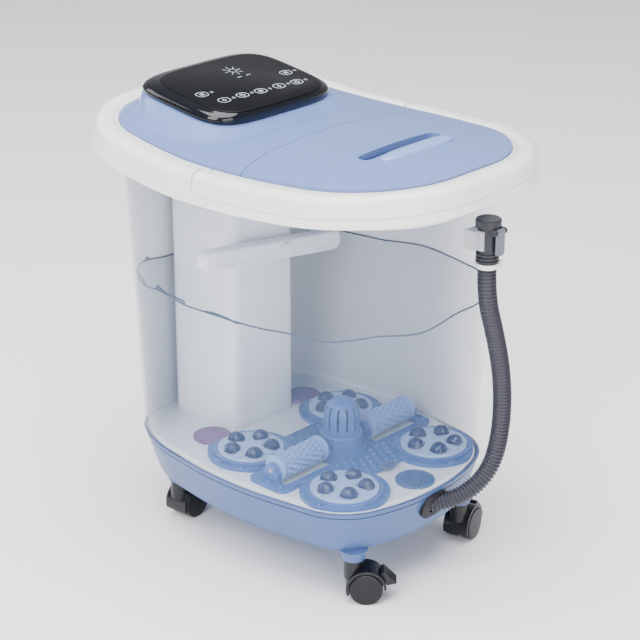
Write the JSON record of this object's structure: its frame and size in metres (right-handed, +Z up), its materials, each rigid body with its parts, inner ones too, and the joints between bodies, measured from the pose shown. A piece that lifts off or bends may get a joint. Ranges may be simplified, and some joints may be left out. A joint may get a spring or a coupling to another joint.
{
  "type": "pedicure foot bath",
  "caption": "Heated spa foot bath with see-through tub, lift-off lid, swing-up carry handle, touch panel, massage floor, tilting spray bar, drain hose and swivel casters.",
  "frame": {"origin": "on the floor, under the middle of the bounding box taken without the drain hose and what is on it", "axes": "+Z up, -Y towards the lid and the drain hose, +Y towards the control panel and the power inlet, +X to the right when the user faces the panel"},
  "size_m": [0.3144, 0.4153, 0.4565],
  "materials": {
    "cover_blue": "satin",
    "skirt_blue": "satin",
    "rim_white": "gloss",
    "tub_clear": "gloss, translucent",
    "moulding_white": "gloss",
    "plate_blue": "gloss",
    "disc_pale": "gloss",
    "ball_blue": "gloss",
    "panel_black": "high gloss",
    "panel_film": "gloss",
    "board_green": "matte",
    "hose_grey": "satin, ribbed",
    "plug_grey": "satin",
    "lever_grey": "satin",
    "clip_clear": "translucent",
    "tie_white": "satin",
    "seal_black": "matte",
    "pipe_grey": "matte",
    "motor_metal": "brushed",
    "pin_steel": "polished",
    "lens_pink": "gloss",
    "caster_black": "satin",
    "wheel_black": "satin",
    "inlet_black": "matte"
  },
  "bodies": {
    "bath": {"rear_cover": "cover_blue", "base_skirt": "skirt_blue", "base_plate": "skirt_blue", "base_screws": "pin_steel", "basin_floor": "moulding_white", "basin_wall": "tub_clear", "handle_pins": "pin_steel", "rim_ring": "rim_white", "panel_housing": "panel_black", "panel_glass": "panel_film", "control_board": "board_green", "service_column": "moulding_white", "spray_knob": "moulding_white", "riser_pipe": "pipe_grey", "pump": "motor_metal", "heater": "motor_metal", "air_pump": "motor_metal", "gear_motors": "motor_metal", "power_inlet": "inlet_black", "drain_hose": "hose_grey", "hose_grommet": "seal_black", "drain_pipe": "pipe_grey", "hose_collar": "plug_grey", "cable_tie": "tie_white", "hose_plug": "plug_grey", "hose_clip": "clip_clear", "massage_plate": "plate_blue", "roller_axles": "pin_steel", "roller_blocks": "plate_blue", "herb_pedestal": "plate_blue", "infrared_lenses": "lens_pink", "drain_filter": "moulding_white", "floor_vents": "moulding_white", "caster_stems": "pin_steel"},
    "handle": {"carry_handle": "rim_white"},
    "lid": {"front_lid": "cover_blue"},
    "spray_bar": {"spray_bar": "moulding_white"},
    "herb_dome": {"herb_dome": "plate_blue"},
    "roller_left": {"roller_left": "ball_blue"},
    "roller_right": {"roller_right": "ball_blue"},
    "plug_lever": {"hose_lever": "lever_grey"},
    "turntable_1": {"turntable_1": "disc_pale", "disc_balls_1": "ball_blue"},
    "caster_1": {"caster_fork_1": "caster_black"},
    "wheels_1": {"caster_wheels_1": "wheel_black"},
    "turntable_2": {"turntable_2": "disc_pale", "disc_balls_2": "ball_blue"},
    "caster_2": {"caster_fork_2": "caster_black"},
    "wheels_2": {"caster_wheels_2": "wheel_black"},
    "turntable_3": {"turntable_3": "disc_pale", "disc_balls_3": "ball_blue"},
    "caster_3": {"caster_fork_3": "caster_black"},
    "wheels_3": {"caster_wheels_3": "wheel_black"},
    "turntable_4": {"turntable_4": "disc_pale", "disc_balls_4": "ball_blue"},
    "caster_4": {"caster_fork_4": "caster_black"},
    "wheels_4": {"caster_wheels_4": "wheel_black"},
    "brake_1": {"caster_brake_1": "caster_black"},
    "brake_2": {"caster_brake_2": "caster_black"}
  },
  "joints": [
    {"name": "handle_swing", "type": "hinge", "parent": "bath", "child": "handle", "pos_m": [0, 0.0095, 0.41133], "axis": [-1, 0, 0], "range_deg": [0, 95]},
    {"name": "lid_lift", "type": "slide", "parent": "bath", "child": "lid", "axis": [0, 0, 1], "range_m": [0, 0.12]},
    {"name": "turntable_spin_1", "type": "hinge", "parent": "bath", "child": "turntable_1", "pos_m": [-0.065, 0.0325, 0.103], "axis": [0, 0, 1], "continuous": true},
    {"name": "turntable_spin_2", "type": "hinge", "parent": "bath", "child": "turntable_2", "pos_m": [-0.065, -0.092, 0.103], "axis": [0, 0, 1], "continuous": true},
    {"name": "turntable_spin_3", "type": "hinge", "parent": "bath", "child": "turntable_3", "pos_m": [0.065, 0.0325, 0.103], "axis": [0, 0, 1], "continuous": true},
    {"name": "turntable_spin_4", "type": "hinge", "parent": "bath", "child": "turntable_4", "pos_m": [0.065, -0.092, 0.103], "axis": [0, 0, 1], "continuous": true},
    {"name": "roller_spin_left", "type": "hinge", "parent": "bath", "child": "roller_left", "pos_m": [-0.064, -0.0295, 0.114], "axis": [1, 0, 0], "continuous": true},
    {"name": "roller_spin_right", "type": "hinge", "parent": "bath", "child": "roller_right", "pos_m": [0.064, -0.0295, 0.114], "axis": [1, 0, 0], "continuous": true},
    {"name": "herb_dome_lift", "type": "slide", "parent": "bath", "child": "herb_dome", "axis": [0, 0, 1], "range_m": [0, 0.05]},
    {"name": "spray_bar_tilt", "type": "hinge", "parent": "bath", "child": "spray_bar", "pos_m": [0.01386, 0.0715, 0.28405], "axis": [0, 1, 0], "range_deg": [-20, 20]},
    {"name": "plug_lever_flip", "type": "hinge", "parent": "bath", "child": "plug_lever", "pos_m": [0.014, -0.204, 0.368], "axis": [-1, 0, 0], "range_deg": [0, 90]},
    {"name": "caster_swivel_1", "type": "hinge", "parent": "bath", "child": "caster_1", "pos_m": [-0.078, -0.1155, 0.04], "axis": [0, 0, 1], "continuous": true},
    {"name": "caster_roll_1", "type": "hinge", "parent": "caster_1", "child": "wheels_1", "pos_m": [-0.06982, -0.12428, 0.016], "axis": [0.7314, 0.682, 0], "continuous": true},
    {"name": "caster_brake_lift_1", "type": "hinge", "parent": "caster_1", "child": "brake_1", "pos_m": [-0.05925, -0.13561, 0.0305], "axis": [-0.7314, -0.682, 0], "range_deg": [0, 20]},
    {"name": "caster_swivel_2", "type": "hinge", "parent": "bath", "child": "caster_2", "pos_m": [0.078, -0.1155, 0.04], "axis": [0, 0, 1], "continuous": true},
    {"name": "caster_roll_2", "type": "hinge", "parent": "caster_2", "child": "wheels_2", "pos_m": [0.08959, -0.11239, 0.016], "axis": [-0.2588, 0.9659, 0], "continuous": true},
    {"name": "caster_brake_lift_2", "type": "hinge", "parent": "caster_2", "child": "brake_2", "pos_m": [0.10456, -0.10838, 0.0305], "axis": [0.2588, -0.9659, 0], "range_deg": [0, 20]},
    {"name": "caster_swivel_3", "type": "hinge", "parent": "bath", "child": "caster_3", "pos_m": [-0.078, 0.1235, 0.04], "axis": [0, 0, 1], "continuous": true},
    {"name": "caster_roll_3", "type": "hinge", "parent": "caster_3", "child": "wheels_3", "pos_m": [-0.06605, 0.12455, 0.016], "axis": [-0.0872, 0.9962, 0], "continuous": true},
    {"name": "caster_swivel_4", "type": "hinge", "parent": "bath", "child": "caster_4", "pos_m": [0.078, 0.1235, 0.04], "axis": [0, 0, 1], "continuous": true},
    {"name": "caster_roll_4", "type": "hinge", "parent": "caster_4", "child": "wheels_4", "pos_m": [0.07592, 0.13532, 0.016], "axis": [-0.9848, -0.1736, 0], "continuous": true}
  ]
}
